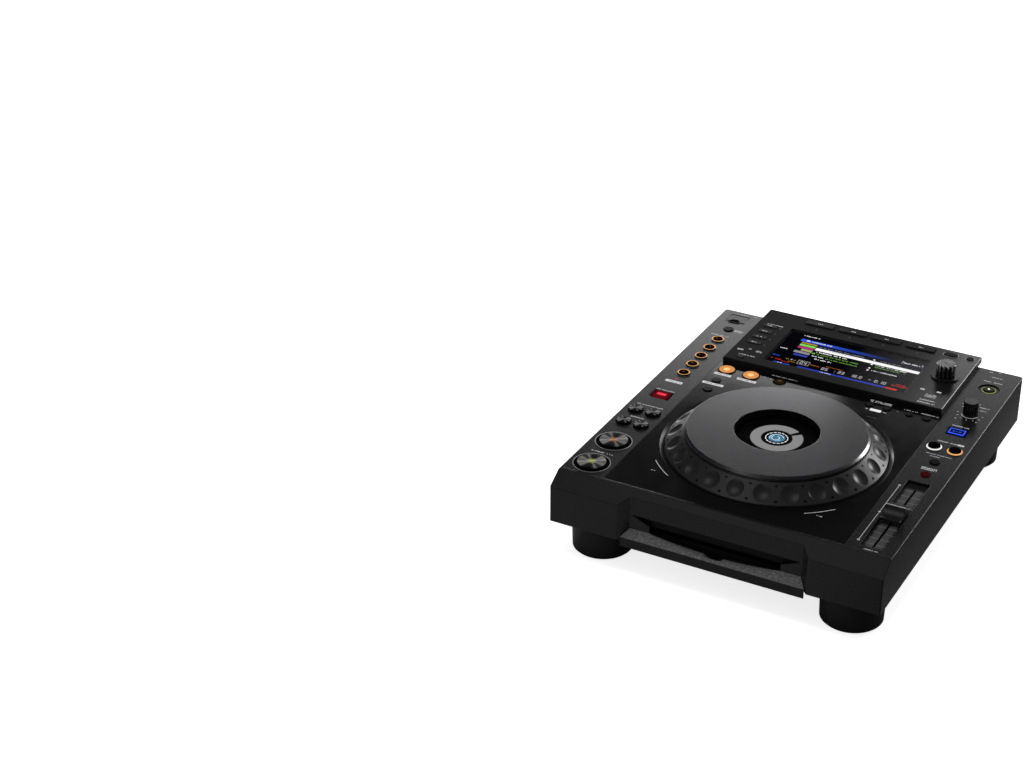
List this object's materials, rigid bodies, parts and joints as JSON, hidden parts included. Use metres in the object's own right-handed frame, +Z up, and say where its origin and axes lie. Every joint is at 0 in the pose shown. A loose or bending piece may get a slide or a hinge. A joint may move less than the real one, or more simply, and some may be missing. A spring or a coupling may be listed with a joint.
{
  "type": "dj cd player",
  "caption": "Tabletop disc player for DJs with a dimpled jog wheel, tempo fader, lit buttons, colour display housing, front disc slot and round feet.",
  "frame": {"origin": "on the floor plane, below the middle of the overall bounding box", "axes": "+X to the player's right as the user faces it, +Y from the front slot to the rear sockets, +Z up"},
  "size_m": [0.305, 0.385, 0.097],
  "materials": {
    "case": "fine satin texture",
    "tray": "matt black",
    "screw": "black zinc",
    "foot": "matt",
    "lip": "coarse spark texture",
    "throat": "matt black",
    "panel": "gloss black",
    "housing": "satin black",
    "window": "clear",
    "lcd": "screen",
    "bezel": "gloss black",
    "eye": "screen",
    "jog_ring": "satin, dimpled",
    "jog_plate": "dark anodised satin",
    "scale": "striped grey",
    "fader": "satin black",
    "knob": "matt, fluted",
    "shaft": "turned",
    "selector": "gloss, fluted",
    "usb": "plated",
    "lid": "satin",
    "rear": "matt black",
    "inlet": "satin black",
    "sockets": "black with metal shells",
    "power": "satin black",
    "drive": "zinc plated",
    "turntable": "moulded",
    "sled": "moulded",
    "roller": "soft",
    "board": "green laminate",
    "housing_key": "satin",
    "dark_cap": "satin",
    "spun": "spun, dark",
    "eject": "gloss",
    "red_key": "lit red",
    "blue_key": "lit blue",
    "red_cap": "dark red",
    "ring_cap": "gloss black",
    "amber_cap": "lit amber",
    "brass_cap": "dim amber",
    "small_key": "satin",
    "cue_cap": "satin black",
    "gloss_cap": "gloss black"
  },
  "bodies": {
    "console": {"bottom_chassis": "tray", "top_case": "case", "front_moulding": "case", "deck_panel": "panel", "disc_lip": "lip", "slot_throat": "throat", "rear_panel": "rear", "display_housing": "housing", "display_window": "window", "lcd_module": "lcd", "circuit_boards": "board", "feet": "foot", "jog_bezel": "bezel", "jog_display": "eye", "fader_scale": "scale", "usb_socket": "usb", "ac_inlet": "inlet", "rear_sockets": "sockets", "drive_frame": "drive", "case_screws": "screw"},
    "jog_wheel": {"jog_ring": "jog_ring", "jog_plate": "jog_plate"},
    "fader_cap": {"fader_cap": "fader"},
    "speed_knob": {"speed_knob": "knob"},
    "selector_shaft": {"selector_shaft": "shaft"},
    "selector_knob": {"selector_knob": "selector"},
    "usb_lid": {"usb_lid": "lid"},
    "power_button": {"power_button": "power"},
    "spindle": {"spindle": "turntable"},
    "pickup_sled": {"pickup_sled": "sled"},
    "feed_roller": {"feed_roller": "roller"},
    "menu_keys": {"menu_keys": "housing_key"},
    "source_keys": {"source_keys": "housing_key"},
    "back_button": {"back_button": "dark_cap"},
    "tag_button": {"tag_button": "dark_cap"},
    "cue_button": {"cue_button": "spun"},
    "play_button": {"play_button": "spun"},
    "eject_button": {"eject_button": "eject"},
    "direction_button": {"direction_button": "red_key"},
    "jog_mode_button": {"jog_mode_button": "blue_key"},
    "usb_stop_button": {"usb_stop_button": "dark_cap"},
    "tempo_range_button": {"tempo_range_button": "dark_cap"},
    "master_tempo_button": {"master_tempo_button": "red_cap"},
    "sync_button": {"sync_button": "ring_cap"},
    "master_button": {"master_button": "ring_cap"},
    "loop_in_button": {"loop_in_button": "amber_cap"},
    "loop_out_button": {"loop_out_button": "amber_cap"},
    "reloop_button": {"reloop_button": "brass_cap"},
    "beat_loop_keys": {"beat_loop_keys": "small_key"},
    "call_keys": {"call_keys": "small_key"},
    "memory_keys": {"memory_keys": "small_key"},
    "hot_cue_1": {"hot_cue_1": "cue_cap"},
    "hot_cue_2": {"hot_cue_2": "cue_cap"},
    "hot_cue_3": {"hot_cue_3": "cue_cap"},
    "hot_cue_4": {"hot_cue_4": "cue_cap"},
    "hot_cue_5": {"hot_cue_5": "cue_cap"},
    "search_back": {"search_back": "gloss_cap"},
    "search_forward": {"search_forward": "gloss_cap"},
    "track_back": {"track_back": "gloss_cap"},
    "track_forward": {"track_forward": "gloss_cap"}
  },
  "joints": [
    {"name": "jog_spin", "type": "hinge", "parent": "console", "child": "jog_wheel", "pos_m": [0, -0.0526, 0.085], "axis": [0, 0, 1], "continuous": true},
    {"name": "speed_turn", "type": "hinge", "parent": "console", "child": "speed_knob", "pos_m": [0.1315, 0.0884, 0.0775], "axis": [0, 0, 1], "range_deg": [-150, 150]},
    {"name": "selector_push", "type": "slide", "parent": "console", "child": "selector_shaft", "axis": [0, 0, 1], "range_m": [-0.0005, 0], "stiffness_N_per_m": 800},
    {"name": "selector_turn", "type": "hinge", "parent": "selector_shaft", "child": "selector_knob", "pos_m": [0.0903, 0.1383, 0.0831], "axis": [0, 0, 1], "continuous": true},
    {"name": "fader_slide", "type": "slide", "parent": "console", "child": "fader_cap", "axis": [0, 1, 0], "range_m": [-0.048, 0.048]},
    {"name": "usb_lid_open", "type": "hinge", "parent": "console", "child": "usb_lid", "pos_m": [-0.13275, 0.1727, 0.0763], "axis": [-1, 0, 0], "range_deg": [0, 100]},
    {"name": "spindle_spin", "type": "hinge", "parent": "console", "child": "spindle", "pos_m": [0, -0.1005, 0.035], "axis": [0, 0, 1], "continuous": true},
    {"name": "sled_slide", "type": "slide", "parent": "console", "child": "pickup_sled", "axis": [0, 1, 0], "range_m": [0, 0.033]},
    {"name": "roller_spin", "type": "hinge", "parent": "console", "child": "feed_roller", "pos_m": [0, -0.1655, 0.0398], "axis": [1, 0, 0], "continuous": true},
    {"name": "power_press", "type": "slide", "parent": "console", "child": "power_button", "axis": [0, 1, 0], "range_m": [-0.0025, 0], "stiffness_N_per_m": 400},
    {"name": "menu_keys_press", "type": "slide", "parent": "console", "child": "menu_keys", "axis": [0, 0, 1], "range_m": [-0.0007, 0], "stiffness_N_per_m": 400},
    {"name": "source_keys_press", "type": "slide", "parent": "console", "child": "source_keys", "axis": [0, 0, 1], "range_m": [-0.0007, 0], "stiffness_N_per_m": 400},
    {"name": "back_button_press", "type": "slide", "parent": "console", "child": "back_button", "axis": [0, 0, 1], "range_m": [-0.0007, 0], "stiffness_N_per_m": 400},
    {"name": "tag_button_press", "type": "slide", "parent": "console", "child": "tag_button", "axis": [0, 0, 1], "range_m": [-0.0007, 0], "stiffness_N_per_m": 400},
    {"name": "cue_button_press", "type": "slide", "parent": "console", "child": "cue_button", "axis": [0, 0, 1], "range_m": [-0.001, 0], "stiffness_N_per_m": 600},
    {"name": "play_button_press", "type": "slide", "parent": "console", "child": "play_button", "axis": [0, 0, 1], "range_m": [-0.001, 0], "stiffness_N_per_m": 600},
    {"name": "eject_button_press", "type": "slide", "parent": "console", "child": "eject_button", "axis": [0, 0, 1], "range_m": [-0.001, 0], "stiffness_N_per_m": 400},
    {"name": "direction_button_press", "type": "slide", "parent": "console", "child": "direction_button", "axis": [0, 0, 1], "range_m": [-0.001, 0], "stiffness_N_per_m": 400},
    {"name": "jog_mode_button_press", "type": "slide", "parent": "console", "child": "jog_mode_button", "axis": [0, 0, 1], "range_m": [-0.001, 0], "stiffness_N_per_m": 400},
    {"name": "usb_stop_button_press", "type": "slide", "parent": "console", "child": "usb_stop_button", "axis": [0, 0, 1], "range_m": [-0.001, 0], "stiffness_N_per_m": 400},
    {"name": "tempo_range_button_press", "type": "slide", "parent": "console", "child": "tempo_range_button", "axis": [0, 0, 1], "range_m": [-0.001, 0], "stiffness_N_per_m": 400},
    {"name": "master_tempo_button_press", "type": "slide", "parent": "console", "child": "master_tempo_button", "axis": [0, 0, 1], "range_m": [-0.001, 0], "stiffness_N_per_m": 400},
    {"name": "sync_button_press", "type": "slide", "parent": "console", "child": "sync_button", "axis": [0, 0, 1], "range_m": [-0.001, 0], "stiffness_N_per_m": 400},
    {"name": "master_button_press", "type": "slide", "parent": "console", "child": "master_button", "axis": [0, 0, 1], "range_m": [-0.001, 0], "stiffness_N_per_m": 400},
    {"name": "loop_in_button_press", "type": "slide", "parent": "console", "child": "loop_in_button", "axis": [0, 0, 1], "range_m": [-0.001, 0], "stiffness_N_per_m": 400},
    {"name": "loop_out_button_press", "type": "slide", "parent": "console", "child": "loop_out_button", "axis": [0, 0, 1], "range_m": [-0.001, 0], "stiffness_N_per_m": 400},
    {"name": "reloop_button_press", "type": "slide", "parent": "console", "child": "reloop_button", "axis": [0, 0, 1], "range_m": [-0.001, 0], "stiffness_N_per_m": 400},
    {"name": "beat_loop_keys_press", "type": "slide", "parent": "console", "child": "beat_loop_keys", "axis": [0, 0, 1], "range_m": [-0.001, 0], "stiffness_N_per_m": 400},
    {"name": "call_keys_press", "type": "slide", "parent": "console", "child": "call_keys", "axis": [0, 0, 1], "range_m": [-0.001, 0], "stiffness_N_per_m": 400},
    {"name": "memory_keys_press", "type": "slide", "parent": "console", "child": "memory_keys", "axis": [0, 0, 1], "range_m": [-0.001, 0], "stiffness_N_per_m": 400},
    {"name": "hot_cue_1_press", "type": "slide", "parent": "console", "child": "hot_cue_1", "axis": [0, 0, 1], "range_m": [-0.001, 0], "stiffness_N_per_m": 400},
    {"name": "hot_cue_2_press", "type": "slide", "parent": "console", "child": "hot_cue_2", "axis": [0, 0, 1], "range_m": [-0.001, 0], "stiffness_N_per_m": 400},
    {"name": "hot_cue_3_press", "type": "slide", "parent": "console", "child": "hot_cue_3", "axis": [0, 0, 1], "range_m": [-0.001, 0], "stiffness_N_per_m": 400},
    {"name": "hot_cue_4_press", "type": "slide", "parent": "console", "child": "hot_cue_4", "axis": [0, 0, 1], "range_m": [-0.001, 0], "stiffness_N_per_m": 400},
    {"name": "hot_cue_5_press", "type": "slide", "parent": "console", "child": "hot_cue_5", "axis": [0, 0, 1], "range_m": [-0.001, 0], "stiffness_N_per_m": 400},
    {"name": "search_back_press", "type": "slide", "parent": "console", "child": "search_back", "axis": [0, 0, 1], "range_m": [-0.001, 0], "stiffness_N_per_m": 400},
    {"name": "search_forward_press", "type": "slide", "parent": "console", "child": "search_forward", "axis": [0, 0, 1], "range_m": [-0.001, 0], "stiffness_N_per_m": 400},
    {"name": "track_back_press", "type": "slide", "parent": "console", "child": "track_back", "axis": [0, 0, 1], "range_m": [-0.001, 0], "stiffness_N_per_m": 400},
    {"name": "track_forward_press", "type": "slide", "parent": "console", "child": "track_forward", "axis": [0, 0, 1], "range_m": [-0.001, 0], "stiffness_N_per_m": 400}
  ]
}
